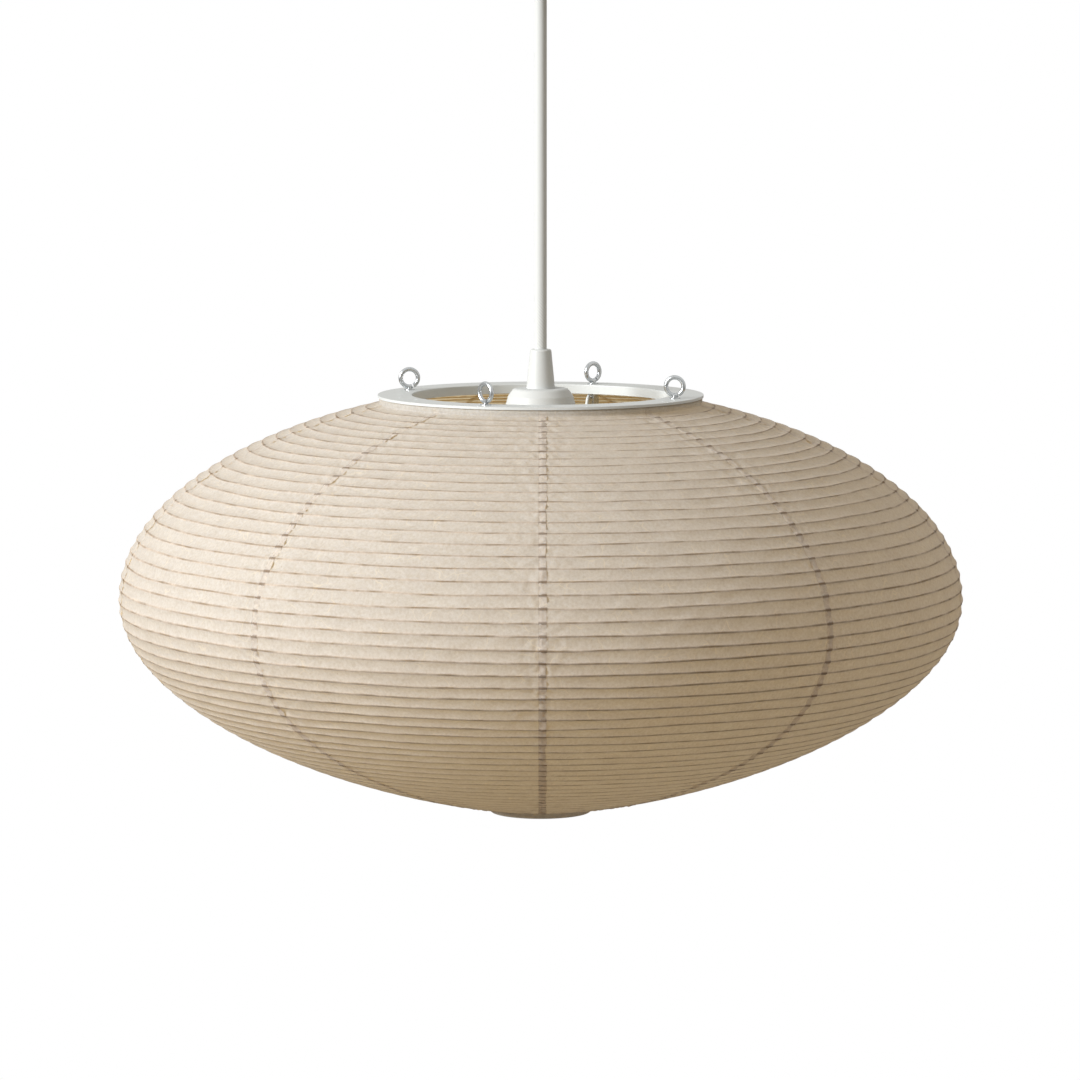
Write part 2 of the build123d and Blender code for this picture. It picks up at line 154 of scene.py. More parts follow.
# Braid: radius is the cord's radius less the relief, plus the relief times the higher of two families of
# cosine ridges, which wind up the cord in opposite directions and pass over each other in turn.
def braidedCord(material):
    low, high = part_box("pendant_cord")
    rows = int((high.z - low.z) / cordForm["step"])
    level = np.linspace(high.z, low.z, rows)[:, None]
    turn = np.linspace(0, 2 * np.pi, cordForm["around"], endpoint=False)[None, :]
    climb = 2 * np.pi * level / cordForm["lay"]
    right = 0.5 + 0.5 * np.cos(cordForm["carriers"] * (turn - climb))
    left = 0.5 + 0.5 * np.cos(cordForm["carriers"] * (turn + climb))
    over = 0.5 + 0.5 * np.sin(cordForm["carriers"] * turn) * np.sin(cordForm["carriers"] * climb)
    ridge = np.maximum(right * (1 - cordForm["dip"] * (1 - over)), left * (1 - cordForm["dip"] * over))
    radius = cordForm["diameter"] / 2 - cordForm["relief"] + cordForm["relief"] * ridge
    points = np.stack(np.broadcast_arrays(radius * np.cos(turn), radius * np.sin(turn), level), axis=-1)
    uv = np.stack(np.broadcast_arrays(turn * cordForm["diameter"] / 2, level), axis=-1)
    # both ends are closed with a fan of triangles round a middle point
    ends = np.array([[0, 0, high.z], [0, 0, low.z]])
    middle, lastRow = rows * cordForm["around"], (rows - 1) * cordForm["around"]
    here = np.arange(cordForm["around"])
    following = np.roll(here, -1)
    upperEnd = np.stack([np.full_like(here, middle), here, following], axis=-1)
    lowerEnd = np.stack([np.full_like(here, middle + 1), lastRow + following, lastRow + here], axis=-1)
    return makePiece(
        "braidedCord", np.concatenate([points.reshape(-1, 3), ends]),
        gridFaces(rows, cordForm["around"], closeColumns=True), material,
        np.concatenate([uv.reshape(-1, 2), np.zeros((2, 2))]),
        triangles=np.stack([upperEnd, lowerEnd], axis=1).reshape(-1, 3))


# Polyester yarn, braided over a round mains cord: dull and soft, with a tiny zigzag of light and shade.
def braidedPolyester():
    material, tree, surface = newMaterial("braidedPolyesterYarn", {
        "Roughness": 0.82, "Specular IOR Level": 0.3, "Sheen Weight": 0.25, "Sheen Roughness": 0.5})
    uv = addNode(tree, "ShaderNodeUVMap", {"uv_map": "along"})
    yarn = addNode(tree, "ShaderNodeTexWave", {"wave_type": "BANDS", "bands_direction": "DIAGONAL"}, {
        "Vector": uv.outputs[0], "Scale": perMetre(0.5 * mm) / 6.28, "Distortion": 1.5, "Detail": 2.0})
    tint = addNode(tree, "ShaderNodeMix", {"data_type": "RGBA"}, {
        0: yarn.outputs["Fac"], 6: linearColour("#c2c4c3"), 7: linearColour("#d6d8d6")})
    tree.links.new(tint.outputs[2], surface.inputs["Base Color"])
    bump = addNode(tree, "ShaderNodeBump", inputs={
        "Strength": 0.35, "Distance": 0.08 * mm, "Height": yarn.outputs["Fac"]})
    tree.links.new(bump.outputs[0], surface.inputs["Normal"])
    return material


cord = braidedCord(braidedPolyester())
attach(cord, "lantern")
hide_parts("pendant_cord")
print("cord done")

# Paper shade.
shadeForm = dict(
    domeHeight=125.0 * mm,      # widest place up to where the upper curve would close
    domePower=1.92,             # an ellipse has 2, and less is more pointed
    bowlHeight=110.0 * mm,      # widest place down to where the lower curve would close
    bowlPower=1.82,
    bowlCone=20.0 * mm,         # how much the middle of the bowl is drawn down below that
    ribPitchMid=7.3 * mm,       # along the paper at the widest place
    ribPitchFar=9.7 * mm,       # along the paper near both ends
    seamAzimuth=270.0,          # the seam that faces the front, degrees
    strips=9,
    overlap=3.2 * mm,           # how far each strip is glued over the next
    tuck=1.0 * mm,              # how far each strip runs back under the one before
    steps=3000,                 # of the outline, above the widest place and below it
)
paperForm = dict(
    columns=96,                 # points across the middle of a strip, with closer ones at both seams
    seamZone=6.0 * mm,          # how wide the closer ones reach
    besideSeam=(0.1, 0.22, 0.38, 0.56, 0.76),           # shares of that zone after the first seam
    beforeSeam=(0.8, 0.62, 0.46, 0.34),                 # and of the zone before the last one
    acrossOverlap=(0.15, 0.3, 0.45, 0.6, 0.72, 0.82, 0.9, 0.96, 1.0),
    rowsPerPanel=7,             # steps between two ribs
    onRib=-0.05 * mm,           # paper on a rib against the smooth form
    sag=0.85 * mm,              # how far it draws in between two ribs at the widest place
    sagTop=0.7, sagFoot=0.6,    # share of that at the top and at the foot
    sagVary=0.22,               # how much that varies along a rib
    sagTurns=(14, 23, 37, 61),  # waves of it in a whole turn
    sagPitch=7.5 * mm,          # spacing of ribs at which it is full
    sagLimits=(0.3, 1.15),      # least and most of it with closer and wider ribs
    ribWander=0.42 * mm,        # how far a rib strays from level
    wanderSteps=400,            # places across a strip at which that is worked out
    pucker=0.30 * mm,           # small wrinkles beside a seam
    puckerReach=16.0 * mm,
    puckers=((11.0 * mm, 1.0), (7.0 * mm, 0.7), (5.0 * mm, 0.45)),   # their widths and shares
    puckerLean=1.6,             # slant of a wrinkle at most, across over along
    near=4.0 * mm,              # the paper knows how far ribs and glued edges are within this reach
    edgeKnots=5.0 * mm,         # the glued edge strays anew this often
    edgeWander=0.35 * mm,       # how far the glued edge strays from a straight cut
    crumple=0.13 * mm,          # faint unevenness everywhere
    crumples=9, crumpleSizes=(7.0 * mm, 24.0 * mm),     # how many waves make it, and how long they are
    lift=0.20 * mm,             # how far the glued overlap stands off
    liftOver=1.2 * mm,          # it rises in this length, half on either side of the seam
    sink=0.1 * mm,              # how far the edge tucked under it lies back
    doubledPast=0.1 * mm,       # the material takes the paper as double this far past the tucked edge
    hoopRows=8,                 # rows that carry the paper on round the wire hoop
    hoopTurn=165,               # degrees round the wire where the paper ends, from straight outwards
    hoopClear=0.12 * mm, hoopLift=0.08 * mm,    # how far off the wire it lies, and more on the overlap
)
random = np.random.default_rng(11)

# Where the shade is widest, and how wide it is at its top and foot, is read from the frame's own paper.
paperPoints = np.array([v.co for v in nodes["paper_gore_1"].data.vertices])
paperRadii = np.hypot(paperPoints[:, 0], paperPoints[:, 1])
shadeRadius = paperRadii.max()
equatorLevel = paperPoints[paperRadii > shadeRadius - 0.02 * mm, 2].mean()
topRadius = paperRadii[paperPoints[:, 2] > paperPoints[:, 2].max() - 0.3 * mm].max()
footRadius = paperRadii[paperPoints[:, 2] < paperPoints[:, 2].min() + 0.05 * mm].max()
print(f"shade radius {shadeRadius:.4f}, widest at {equatorLevel:.4f}")


# Outline of the shade against the distance along it: the radius is R cos(t)^(2/p). Above the widest place
# the level is H sin(t), and below it is H sin(t) less the cone's C (1 - r/R).
def shadeOutline():
    topTurn = math.acos((topRadius / shadeRadius) ** (shadeForm["domePower"] / 2))
    footTurn = -math.acos((footRadius / shadeRadius) ** (shadeForm["bowlPower"] / 2))
    turn = np.concatenate([np.linspace(topTurn, 0, shadeForm["steps"])[:-1],
                           np.linspace(0, footTurn, shadeForm["steps"])])
    share = np.cos(turn) ** (2 / np.where(turn >= 0, shadeForm["domePower"], shadeForm["bowlPower"]))
    radius = shadeRadius * share
    dome = shadeForm["domeHeight"] * np.sin(turn)
    bowl = shadeForm["bowlHeight"] * np.sin(turn) - shadeForm["bowlCone"] * (1 - share)
    level = equatorLevel + np.where(turn >= 0, dome, bowl)
    along = np.concatenate([[0], np.cumsum(np.hypot(np.diff(radius), np.diff(level)))])
    slope = np.stack([np.gradient(radius, along), np.gradient(level, along)])
    slope /= np.linalg.norm(slope, axis=0)
    return dict(along=along, radius=radius, level=level, outRadius=-slope[1], outLevel=slope[0])


# Where the ribs lie along the outline: the pitch grows in proportion to the height away from the widest
# place, and the ribs are the whole numbers of the integral of one over the pitch.
def ribPlaces(outline):
    away = np.abs(outline["level"] - equatorLevel) / shadeForm["domeHeight"]
    pitch = shadeForm["ribPitchMid"] + (shadeForm["ribPitchFar"] - shadeForm["ribPitchMid"]) * away
    middle = (1 / pitch[1:] + 1 / pitch[:-1]) / 2 * np.diff(outline["along"])
    count = np.concatenate([[0], np.cumsum(middle)])
    count -= count[np.argmax(outline["radius"])]
    whole = np.arange(math.ceil(count[0] + 0.5), math.floor(count[-1] - 0.5) + 1)
    return np.interp(whole, count, outline["along"])


# A point on the outline at a distance along it, moved outward square to the paper, at an azimuth.
def onShade(outline, along, outward, azimuth):
    look = lambda key: np.interp(along, outline["along"], outline[key])
    radius = look("radius") + outward * look("outRadius")
    level = look("level") + outward * look("outLevel")
    return np.stack([radius * np.cos(azimuth), radius * np.sin(azimuth), level], axis=-1)


outline = shadeOutline()
ribAlong = ribPlaces(outline)
edgeAlong = np.concatenate([[0.0], ribAlong, [outline["along"][-1]]])
ribCount = len(ribAlong)
print("ribs:", ribCount)

# Each rib wanders a little up and down as it goes round, and so does the paper that is glued to it.
wanderTurns = np.array([2, 3, 5, 9, 14, 23, 31])
wanderShare = np.array([0.5, 0.5, 0.45, 0.4, 0.35, 0.2, 0.15])
wanderPhase = random.uniform(0, 2 * np.pi, (ribCount + 2, len(wanderTurns)))
wanderSize = random.normal(0, 1, (ribCount + 2, len(wanderTurns))) * wanderShare
wanderSize[[0, -1]] = 0


def ribWander(azimuth):
    waves = np.sin(azimuth[..., None] * wanderTurns + wanderPhase[:, None, :])
    return paperForm["ribWander"] * (waves * wanderSize[:, None, :]).sum(-1)


# Azimuths of a strip's columns in each row: close ones beside the first seam, even ones across, and close
# ones up to the end of the overlap, whose edge isn't cut quite straight.
def stripColumns(k, start, step, middleAlong, radius):
    knots = np.arange(0, outline["along"][-1] + 0.01, paperForm["edgeKnots"])
    stray = np.random.default_rng(300 + k).normal(0, paperForm["edgeWander"], len(knots))
    over = shadeForm["overlap"] + np.interp(middleAlong, knots, stray)
    zone, under = paperForm["seamZone"], shadeForm["tuck"]
    beside = [-under, -0.5 * under, 0, *(zone * np.array(paperForm["besideSeam"]))]
    before = [*(-zone * np.array(paperForm["beforeSeam"])), -1.5 * under, -under, -0.6 * under, 0]
    after = over * np.array([paperForm["acrossOverlap"]])
    even = np.linspace(0, 1, paperForm["columns"])[None, :]
    azimuth = np.concatenate([
        start + np.array(beside) / radius, start + zone / radius + even * (step - 2 * zone / radius),
        start + step + np.array(before) / radius, start + step + after / radius], axis=1)
    return azimuth, over


# Unevenness of a strip: wrinkles that fade away from both seams as exp(-(distance/reach)^2), each a sum of
# slanting sine waves whose phase changes from panel to panel, and a faint sum of long sine waves all over.
def stripUnevenness(local, panels, panel, azimuth, radius, along, toSeam):
    wrinkle = np.zeros_like(azimuth)
    for size, weight in paperForm["puckers"]:
        lean = local.uniform(-paperForm["puckerLean"], paperForm["puckerLean"])
        phase = local.uniform(0, 6.28, (panels, 1))[panel]
        wrinkle += weight * np.sin(2 * np.pi * (azimuth * radius + lean * along) / size + phase)
    cloud = np.zeros_like(azimuth)
    for _ in range(paperForm["crumples"]):
        direction, phase = local.normal(0, 1, 2), local.uniform(0, 6.28)
        direction *= 2 * np.pi / local.uniform(*paperForm["crumpleSizes"]) / np.hypot(*direction)
        cloud += np.sin(direction[0] * azimuth * radius + direction[1] * along + phase)
    cloud /= math.sqrt(paperForm["crumples"])
    nearSeam = np.exp(-(toSeam / paperForm["puckerReach"]) ** 2)
    return paperForm["pucker"] * nearSeam * wrinkle + paperForm["crumple"] * cloud


# Rows that carry a strip's upper edge on round the wire hoop: an arc from the paper's first row to the
# inside of the hoop, which closes in on the wire as the square root of the way.
def roundHoop(firstRow, azimuth, onNext):
    low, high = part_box("top_hoop")
    wire = (high.z - low.z) / 2
    hoopRadius, hoopLevel = high.x - wire, (high.z + low.z) / 2
    fromHoop = np.hypot(firstRow[..., 0], firstRow[..., 1]) - hoopRadius
    rise = firstRow[..., 2] - hoopLevel
    begin, away = np.arctan2(rise, fromHoop), np.hypot(rise, fromHoop)
    reach = np.linspace(1, 0, paperForm["hoopRows"] + 1)[:-1, None]
    angle = begin + (math.radians(paperForm["hoopTurn"]) - begin) * reach
    close = wire + paperForm["hoopClear"] + paperForm["hoopLift"] * onNext
    distance = away + (close - away) * np.sqrt(reach)
    radius = hoopRadius + distance * np.cos(angle)
    level = hoopLevel + distance * np.sin(angle)
    return np.stack([radius * np.cos(azimuth), radius * np.sin(azimuth), level], axis=-1)


# One strip of paper: a grid down the outline and across the strip. From one rib to the next it is drawn
# inward as a parabola, 4t(1 - t), so that every rib stands out as a fine ridge.
def paperStrip(k, material):
    step = 2 * math.pi / shadeForm["strips"]
    start = math.radians(shadeForm["seamAzimuth"]) + k * step
    panels = ribCount + 1
    rowsPerPanel = paperForm["rowsPerPanel"]
    inPanel = 0.5 - 0.5 * np.cos(np.pi * np.arange(rowsPerPanel) / rowsPerPanel)
    panel = np.append(np.repeat(np.arange(panels), rowsPerPanel), panels - 1)
    t = np.append(np.tile(inPanel, panels), 1.0)[:, None]
    middleAlong = edgeAlong[panel][:, None] * (1 - t) + edgeAlong[panel + 1][:, None] * t
    radius = np.interp(middleAlong, outline["along"], outline["radius"])
    azimuth, over = stripColumns(k, start, step, middleAlong, radius)
    # ribs are where their wander puts them, read from a row of azimuths that runs a little past both seams
    whole = np.linspace(start - 0.1, start + step + 0.2, paperForm["wanderSteps"])
    wander = ribWander(np.broadcast_to(whole, (ribCount + 2, len(whole))))
    place = (azimuth - whole[0]) / (whole[1] - whole[0])
    left = np.clip(place.astype(int), 0, len(whole) - 2)
    share = place - left
    rib = panel[:, None]
    above = wander[rib, left] * (1 - share) + wander[rib, left + 1] * share
    below = wander[rib + 1, left] * (1 - share) + wander[rib + 1, left + 1] * share
    along = middleAlong + above * (1 - t) + below * t
    # how far the paper is drawn in
    level = np.interp(middleAlong, outline["along"], outline["level"])
    away = (level - equatorLevel) / shadeForm["domeHeight"]
    upper, lower = paperForm["sagTop"] - 1, 1 - paperForm["sagFoot"]
    local = np.random.default_rng(100 + k)
    vary = circleWaves(local, panels, whole, paperForm["sagTurns"], paperForm["sagVary"])
    pitch = (edgeAlong[panel + 1] - edgeAlong[panel])[:, None]
    fullness = np.clip(pitch / paperForm["sagPitch"], *paperForm["sagLimits"])
    sag = paperForm["sag"] * np.where(away > 0, 1 + upper * away, 1 + lower * away)
    sag = sag * (1 + vary[rib, left]) * fullness
    hump = 4 * t * (1 - t)
    fromFirst = (azimuth - start) * radius
    fromLast = (start + step - azimuth) * radius
    toSeam = np.minimum(np.abs(fromFirst), np.abs(fromLast))
    uneven = stripUnevenness(local, panels, panel, azimuth, radius, along, toSeam)
    outward = paperForm["onRib"] - sag * hump + hump * uneven
    # the overlap lies on the next strip, and the tucked edge under the last one
    onNext = np.clip(0.5 - fromLast / paperForm["liftOver"], 0, 1)
    underLast = np.clip(-fromFirst / shadeForm["tuck"], 0, 1)
    outward = outward + paperForm["lift"] * onNext - paperForm["sink"] * underLast
    points = onShade(outline, along, outward, azimuth)
    points = np.concatenate([roundHoop(points[:1], azimuth[:1], onNext[:1]), points])
    # what the material asks for: how near a rib and a glued edge are, and where the paper is double
    reach = paperForm["near"]
    toRib = np.broadcast_to(np.where(t < 0.5, t, 1 - t) * pitch, azimuth.shape)
    toRib = np.where((rib == 0) & (t < 0.5) | (rib == panels - 1) & (t > 0.5), reach, toRib)
    toEdge = np.minimum(np.abs(fromLast + over), np.abs(fromLast - shadeForm["tuck"]))
    doubled = (fromLast < shadeForm["tuck"] + paperForm["doubledPast"]) * 1.0
    grow = lambda a: np.concatenate([np.repeat(a[:1], paperForm["hoopRows"], axis=0), a])
    piece = makePiece(
        f"paperStrip{k + 1}", points, gridFaces(*points.shape[:2]), material,
        grow(np.stack([azimuth * shadeRadius, along], axis=-1)),
        {"nearRib": grow(np.clip(1 - toRib / reach, 0, 1)), "doubled": grow(doubled),
         "nearEdge": grow(np.clip(1 - toEdge / reach, 0, 1))})
    widths = step * outline["radius"][1:] + shadeForm["overlap"] + shadeForm["tuck"]
    return piece, float((widths * np.diff(outline["along"])).sum())


paperLook = dict(
    thick="#e4e4e3", thin="#f3f3f2", grain="#d6d1c8", fibre="#f7f1e4", fleck="#8d7756",
    # the rib's colour below is partly its own and partly painted shade; the light through at a rib is the
    # rib's painted shadow
    rib="#a8874f", glue="#84633b",                      # what shows of a rib below and of the glue
    throughThick="#ecd6ae", throughThin="#fcecc8",      # light that comes through
    ribShadowThrough="#7d5d34", throughTwo="#c9b08a", throughGlue="#8a6a40",
    through=0.5,                                        # share of the light that the paper lets through
    cloudSize=16.0 * mm, grainSize=1.7 * mm,
    fibreSpacing=13.0 * mm, fibreLength=14.0 * mm, fleckSpacing=17.0 * mm,
    ribShadeLineWidths=(0.55 * mm, 1.05 * mm),               # half the width of a rib's line, least and most
)


# Mulberry paper, formed as a sheet and glued over ribs: a dry, cloudy off-white with long fibres in it,
# which warms to tan where light comes through. The ribs show through it as fine brown lines, painted partly
# as the rib and glue below and partly as painted shade: the rib's shadow and the shade of its groove.
def mulberryPaper():
    material, tree, surface = newMaterial("mulberryPaperSheetFormed", {
        "Roughness": 0.86, "Specular IOR Level": 0.22, "Sheen Weight": 0.08, "Sheen Roughness": 0.6})
    spot = addNode(tree, "ShaderNodeTexCoord").outputs["Object"]
    cloud = addNode(tree, "ShaderNodeTexNoise", inputs={
        "Vector": spot, "Scale": perMetre(paperLook["cloudSize"]), "Detail": 5.0, "Roughness": 0.6})
    grain = addNode(tree, "ShaderNodeTexNoise", inputs={
        "Vector": spot, "Scale": perMetre(paperLook["grainSize"]), "Detail": 4.0, "Roughness": 0.7})
    # fibres are the edges of cells whose place is bent by noise, kept only where another noise is high
    bend = addNode(tree, "ShaderNodeTexNoise", inputs={
        "Vector": spot, "Scale": perMetre(paperLook["fibreLength"]), "Detail": 2.0})
    bent = addNode(tree, "ShaderNodeMix", {"data_type": "VECTOR", "factor_mode": "UNIFORM"}, {
        0: 0.012, 4: spot, 5: bend.outputs["Color"]})
    cells = addNode(tree, "ShaderNodeTexVoronoi", {"feature": "DISTANCE_TO_EDGE"}, {
        "Vector": bent.outputs[1], "Scale": perMetre(paperLook["fibreSpacing"])})
    line = addNode(tree, "ShaderNodeMapRange", inputs={
        "Value": cells.outputs["Distance"], "From Min": 0.006, "From Max": 0.022,
        "To Min": 1.0, "To Max": 0.0})
    keep = addNode(tree, "ShaderNodeMapRange", inputs={
        "Value": bend.outputs["Fac"], "From Min": 0.50, "From Max": 0.60})
    fibre = addNode(tree, "ShaderNodeMath", {"operation": "MULTIPLY"}, {
        0: line.outputs[0], 1: keep.outputs[0]})
    # a few bark flecks
    flecks = addNode(tree, "ShaderNodeTexVoronoi", inputs={
        "Vector": spot, "Scale": perMetre(paperLook["fleckSpacing"])})
    fleck = addNode(tree, "ShaderNodeMapRange", inputs={
        "Value": flecks.outputs["Distance"], "From Min": 0.012, "From Max": 0.035,
        "To Min": 1.0, "To Max": 0.0})
    # the rib below: a line painted partly as the rib and glue seen through the paper and partly as painted
    # shade, the rib's shadow and its groove's shade
    nearRib = addNode(tree, "ShaderNodeAttribute", {"attribute_name": "nearRib"}).outputs["Fac"]
    toRib = addNode(tree, "ShaderNodeMath", {"operation": "MULTIPLY_ADD"}, {
        0: nearRib, 1: -paperForm["near"], 2: paperForm["near"]}).outputs[0]
    uneven = addNode(tree, "ShaderNodeTexNoise", inputs={
        "Vector": spot, "Scale": perMetre(9 * mm), "Detail": 3.0})
    width = addNode(tree, "ShaderNodeMapRange", inputs={
        "Value": uneven.outputs["Fac"], "From Min": 0.3, "From Max": 0.7,
        "To Min": paperLook["ribShadeLineWidths"][0], "To Max": paperLook["ribShadeLineWidths"][1]})
    ribShadeLine = addNode(tree, "ShaderNodeMapRange", {"interpolation_type": "SMOOTHSTEP"}, {
        "Value": toRib, "From Min": 0.1 * mm, "From Max": width.outputs[0], "To Min": 1.0, "To Max": 0.0})
    doubled = addNode(tree, "ShaderNodeAttribute", {"attribute_name": "doubled"}).outputs["Fac"]

    tone = addNode(tree, "ShaderNodeMix", {"data_type": "RGBA"}, {
        0: cloud.outputs["Fac"], 6: linearColour(paperLook["thick"]), 7: linearColour(paperLook["thin"])})
    toned = addNode(tree, "ShaderNodeMix", {"data_type": "RGBA", "blend_type": "MULTIPLY"}, {
        6: tone.outputs[2], 7: linearColour(paperLook["grain"])})
    grainy = addNode(tree, "ShaderNodeMapRange", inputs={
        "Value": grain.outputs["Fac"], "From Min": 0.35, "From Max": 0.7, "To Min": 0.0, "To Max": 0.8})
    tree.links.new(grainy.outputs[0], toned.inputs[0])
    fibred = addNode(tree, "ShaderNodeMix", {"data_type": "RGBA"}, {
        6: toned.outputs[2], 7: linearColour(paperLook["fibre"])})
    fibreShare = addNode(tree, "ShaderNodeMath", {"operation": "MULTIPLY"}, {0: fibre.outputs[0], 1: 0.8})
    tree.links.new(fibreShare.outputs[0], fibred.inputs[0])
    flecked = addNode(tree, "ShaderNodeMix", {"data_type": "RGBA"}, {
        6: fibred.outputs[2], 7: linearColour(paperLook["fleck"])})
    fleckShare = addNode(tree, "ShaderNodeMath", {"operation": "MULTIPLY"}, {0: fleck.outputs[0], 1: 0.45})
    tree.links.new(fleckShare.outputs[0], flecked.inputs[0])
    # painted shade along each rib, partly the rib and glue showing through, with a strength that varies at
    # random
    ribShaded = addNode(tree, "ShaderNodeMix", {"data_type": "RGBA", "blend_type": "MULTIPLY"}, {
        6: flecked.outputs[2], 7: linearColour(paperLook["rib"])})
    faint = addNode(tree, "ShaderNodeMapRange", inputs={
        "Value": bend.outputs["Fac"], "From Min": 0.35, "From Max": 0.65, "To Min": 0.15, "To Max": 0.7})
    ribShadeShare = addNode(tree, "ShaderNodeMath", {"operation": "MULTIPLY"}, {
        0: ribShadeLine.outputs[0], 1: faint.outputs[0]})
    tree.links.new(ribShadeShare.outputs[0], ribShaded.inputs[0])
    # the overlap: glue-darkened edges, broken up, and a brown spot where it crosses a rib
    nearEdge = addNode(tree, "ShaderNodeAttribute", {"attribute_name": "nearEdge"}).outputs["Fac"]
    toEdge = addNode(tree, "ShaderNodeMath", {"operation": "MULTIPLY_ADD"}, {
        0: nearEdge, 1: -paperForm["near"], 2: paperForm["near"]}).outputs[0]
    stray = addNode(tree, "ShaderNodeMapRange", inputs={
        "Value": grain.outputs["Fac"], "From Min": 0.3, "From Max": 0.7,
        "To Min": -0.5 * mm, "To Max": 0.5 * mm})
    seamEdge = addNode(tree, "ShaderNodeMath", {"operation": "ADD"}, {
        0: toEdge, 1: stray.outputs[0]}).outputs[0]
    edge = addNode(tree, "ShaderNodeMapRange", inputs={
        "Value": seamEdge, "From Min": 0.1 * mm, "From Max": 0.45 * mm, "To Min": 1.0, "To Max": 0.0})
    broken = addNode(tree, "ShaderNodeMapRange", inputs={
        "Value": grain.outputs["Fac"], "From Min": 0.42, "From Max": 0.6, "To Min": 0.05, "To Max": 0.6})
    edgeLine = addNode(tree, "ShaderNodeMath", {"operation": "MULTIPLY"}, {
        0: edge.outputs[0], 1: broken.outputs[0]})
    onRib = addNode(tree, "ShaderNodeMapRange", {"interpolation_type": "SMOOTHSTEP"}, {
        "Value": toRib, "From Min": 0.5 * mm, "From Max": 1.3 * mm, "To Min": 1.0, "To Max": 0.0})
    crossing = addNode(tree, "ShaderNodeMath", {"operation": "MULTIPLY"}, {0: onRib.outputs[0], 1: doubled})
    glue = addNode(tree, "ShaderNodeMath", {"operation": "MAXIMUM", "use_clamp": True}, {
        0: edgeLine.outputs[0], 1: crossing.outputs[0]})
    glueShare = addNode(tree, "ShaderNodeMath", {"operation": "MULTIPLY"}, {0: glue.outputs[0], 1: 0.5})
    glued = addNode(tree, "ShaderNodeMix", {"data_type": "RGBA"}, {
        0: glueShare.outputs[0], 6: ribShaded.outputs[2], 7: linearColour(paperLook["glue"])})
    tree.links.new(glued.outputs[2], surface.inputs["Base Color"])

    through = addNode(tree, "ShaderNodeMix", {"data_type": "RGBA"}, {
        0: cloud.outputs["Fac"],
        6: linearColour(paperLook["throughThick"]), 7: linearColour(paperLook["throughThin"])})
    # painted shadow: the light that comes through is darkened along each rib, where the rib would block it
    ribShadowThrough = addNode(tree, "ShaderNodeMix", {"data_type": "RGBA"}, {
        0: ribShadeShare.outputs[0], 6: through.outputs[2], 7: linearColour(paperLook["ribShadowThrough"])})
    throughTwo = addNode(tree, "ShaderNodeMix", {"data_type": "RGBA", "blend_type": "MULTIPLY"}, {
        6: ribShadowThrough.outputs[2], 7: linearColour(paperLook["throughTwo"])})
    twoShare = addNode(tree, "ShaderNodeMath", {"operation": "MULTIPLY"}, {0: doubled, 1: 0.3})
    tree.links.new(twoShare.outputs[0], throughTwo.inputs[0])

    throughGlue = addNode(tree, "ShaderNodeMix", {"data_type": "RGBA"}, {
        0: glueShare.outputs[0], 6: throughTwo.outputs[2], 7: linearColour(paperLook["throughGlue"])})

    height = addNode(tree, "ShaderNodeMath", {"operation": "MULTIPLY_ADD"}, {
        0: fibre.outputs[0], 1: 0.5, 2: grain.outputs["Fac"]})
    bump = addNode(tree, "ShaderNodeBump", inputs={
        "Strength": 0.4, "Distance": 0.12 * mm, "Height": height.outputs[0]})
    tree.links.new(bump.outputs[0], surface.inputs["Normal"])
    glow = addNode(tree, "ShaderNodeBsdfTranslucent", inputs={
        "Color": throughGlue.outputs[2], "Normal": bump.outputs[0]})
    both = addNode(tree, "ShaderNodeMixShader", inputs={
        0: paperLook["through"], 1: surface.outputs[0], 2: glow.outputs[0]})
    output = next(n for n in tree.nodes if n.type == "OUTPUT_MATERIAL")
    tree.links.new(both.outputs[0], output.inputs["Surface"])
    return material


# Ribs: round rings just inside the paper, which wander with it.
ribForm = dict(
    around=200,                 # points round the shade
    sides=6,                    # points round the rib
    thick=1.0 * mm,
    clear=0.12 * mm,            # between a rib and the paper
)


# Each ring is a circle of the rib's thickness, carried round the shade at its own wandering place.
def ribRings(name, first, last, material):
    azimuth = np.linspace(0, 2 * np.pi, ribForm["around"], endpoint=False)
    side = np.linspace(0, 2 * np.pi, ribForm["sides"], endpoint=False)
    wander = ribWander(np.broadcast_to(azimuth, (ribCount + 2, len(azimuth))))
    points, faces = [], []
    for rib in range(first, last):
        depth = ribForm["clear"] + ribForm["thick"] / 2 - paperForm["onRib"]
        along = (ribAlong[rib] + wander[rib + 1])[:, None] + ribForm["thick"] / 2 * np.sin(side)
        outward = -depth + ribForm["thick"] / 2 * np.cos(side)
        points.append(onShade(outline, along, outward, azimuth[:, None]).reshape(-1, 3))
        start = (rib - first) * len(points[0])
        faces.append(gridFaces(ribForm["around"], ribForm["sides"], True, True, start))
    return makePiece(name, np.concatenate(points), np.concatenate(faces), material)


# Split bamboo, planed to a thin square strip: straw brown, satin, with fine straight grain.
def splitBamboo():
    material, tree, surface = newMaterial("bambooSplitAndPlaned", {
        "Roughness": 0.55, "Specular IOR Level": 0.4})
    spot = addNode(tree, "ShaderNodeTexCoord").outputs["Object"]
    grain = addNode(tree, "ShaderNodeTexNoise", inputs={
        "Vector": spot, "Scale": perMetre(3 * mm), "Detail": 4.0, "Roughness": 0.6})
    tint = addNode(tree, "ShaderNodeMix", {"data_type": "RGBA"}, {
        0: grain.outputs["Fac"], 6: linearColour("#d3b98c"), 7: linearColour("#ecd9b2")})
    tree.links.new(tint.outputs[2], surface.inputs["Base Color"])
    return material


